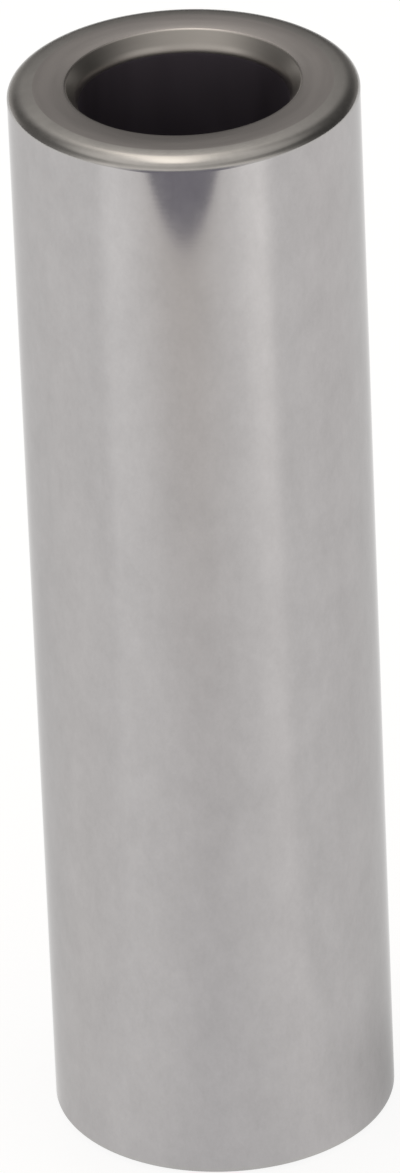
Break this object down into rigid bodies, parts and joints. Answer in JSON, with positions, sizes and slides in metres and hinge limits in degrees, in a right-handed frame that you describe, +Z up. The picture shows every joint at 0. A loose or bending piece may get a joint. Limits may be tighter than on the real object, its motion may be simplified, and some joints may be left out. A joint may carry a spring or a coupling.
{
  "type": "gudgeon pin",
  "caption": "Hollow ground steel gudgeon pin with rounded outer edges and chamfered bore mouths, joining a piston to its connecting rod",
  "frame": {"origin": "centre of the lower end face, on the pin's axis", "axes": "+Z runs up the pin's axis, out of the upper end face; X and Y are any two directions across the round pin"},
  "size_m": [0.022, 0.022, 0.0732],
  "materials": {
    "ground_steel": "bright ground wall, darker turned end faces and bore"
  },
  "bodies": {
    "root": {"gudgeon_pin": "ground_steel"}
  },
  "joints": []
}
